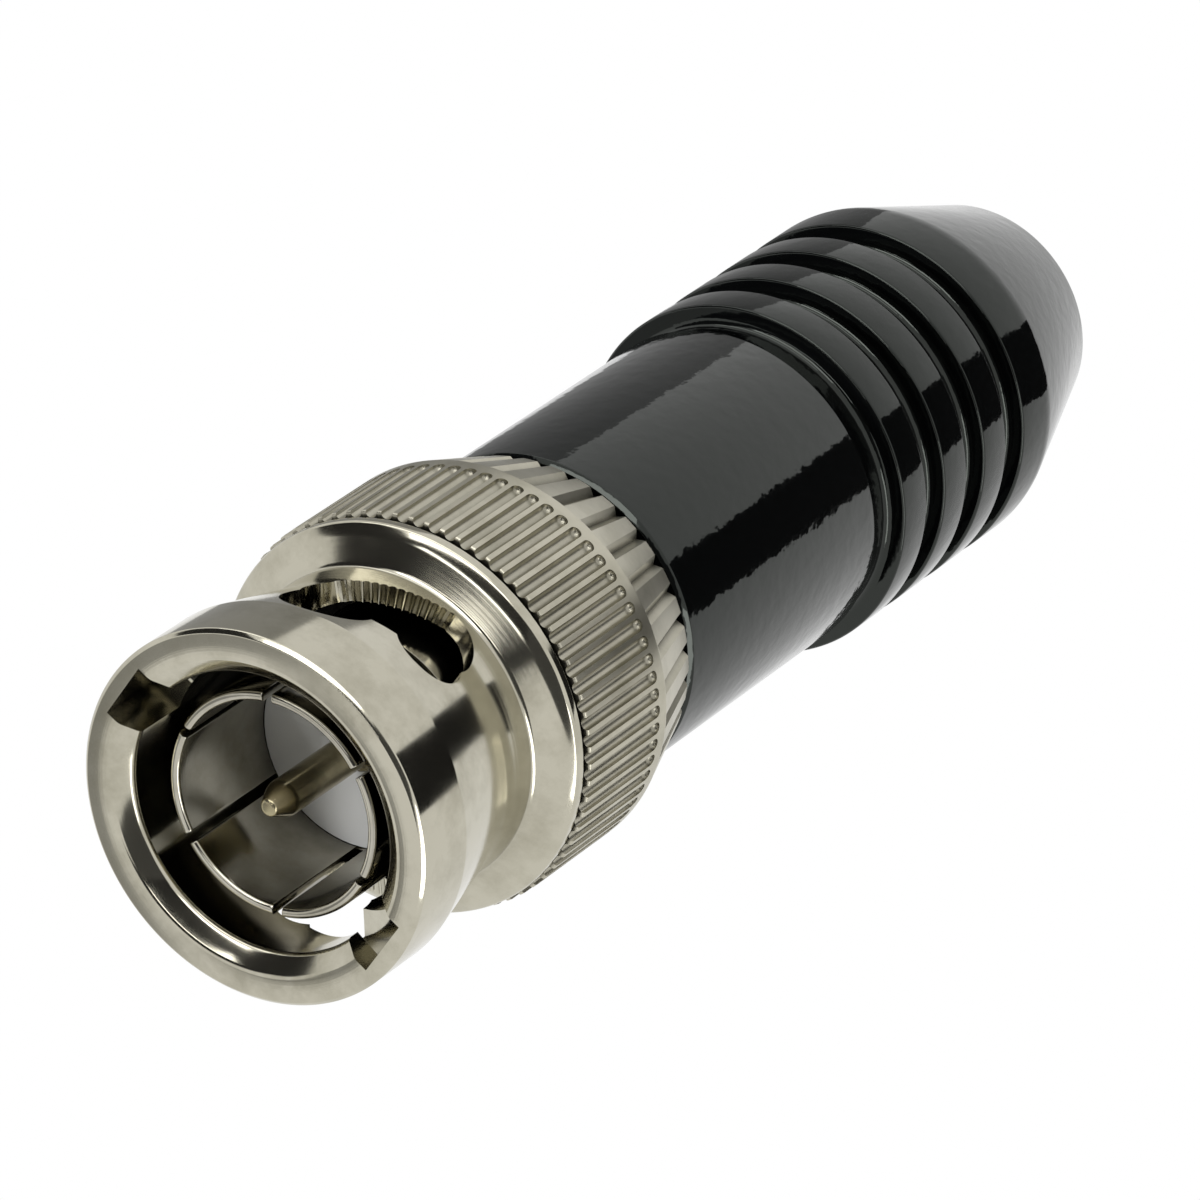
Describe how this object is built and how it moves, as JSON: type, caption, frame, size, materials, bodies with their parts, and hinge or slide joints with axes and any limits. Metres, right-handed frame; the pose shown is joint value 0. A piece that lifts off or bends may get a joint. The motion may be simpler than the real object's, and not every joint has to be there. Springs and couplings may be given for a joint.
{
  "type": "bayonet coaxial cable plug",
  "caption": "Straight coaxial cable plug with a turning bayonet coupling nut, pointed centre pin and a screwed grooved metal barrel.",
  "frame": {"origin": "centre of the cable end's flat face", "axes": "+Z along the plug's axis towards the mating face, X through the coupling nut's two entry notches"},
  "size_m": [0.0142, 0.0142, 0.0476],
  "materials": {
    "nickel_nut": "turned brass, bright nickel plate",
    "nickel_body": "turned brass, nickel plate",
    "black_metal": "turned metal, glossy black",
    "contact_metal": "turned brass, thin gold plate",
    "insulator_plastic": "white fluoropolymer",
    "gasket_rubber": "black silicone rubber",
    "spring_steel": "spring steel strip",
    "clamp_metal": "stamped brass, nickel plate",
    "bush_brass": "turned brass",
    "liner_plastic": "thin plastic tube"
  },
  "bodies": {
    "barrel": {"barrel": "black_metal"},
    "liner": {"liner_tube": "liner_plastic"},
    "plug_core": {"plug_body": "nickel_body", "face_gasket": "gasket_rubber", "front_insulator": "insulator_plastic", "centre_contact": "contact_metal", "rear_insulator": "insulator_plastic", "insulator_bush": "bush_brass", "cable_clamp": "clamp_metal", "front_thrust_washer": "spring_steel", "wave_washer": "spring_steel"},
    "nut_washer": {"rear_thrust_washer": "spring_steel"},
    "nut": {"coupling_nut": "nickel_nut", "retaining_ring": "spring_steel"}
  },
  "joints": [
    {"name": "core_lift", "type": "slide", "parent": "barrel", "child": "liner", "axis": [0, 0, 1], "range_m": [0, 0.0045]},
    {"name": "core_unscrew", "type": "hinge", "parent": "liner", "child": "plug_core", "pos_m": [0, 0, 0.028], "axis": [0, 0, 1], "range_deg": [0, 2170]},
    {"name": "nut_push", "type": "slide", "parent": "plug_core", "child": "nut_washer", "axis": [0, 0, 1], "range_m": [0, 0.0008], "stiffness_N_per_m": 8000, "springref_m": -0.0004, "deforming": ["wave_washer"]},
    {"name": "nut_turn", "type": "hinge", "parent": "nut_washer", "child": "nut", "pos_m": [0, 0, 0.039], "axis": [0, 0, 1], "continuous": true}
  ],
  "couplings": [
    {"joint": "core_unscrew", "follows": "core_lift", "rad_per_m": 8377.6}
  ]
}
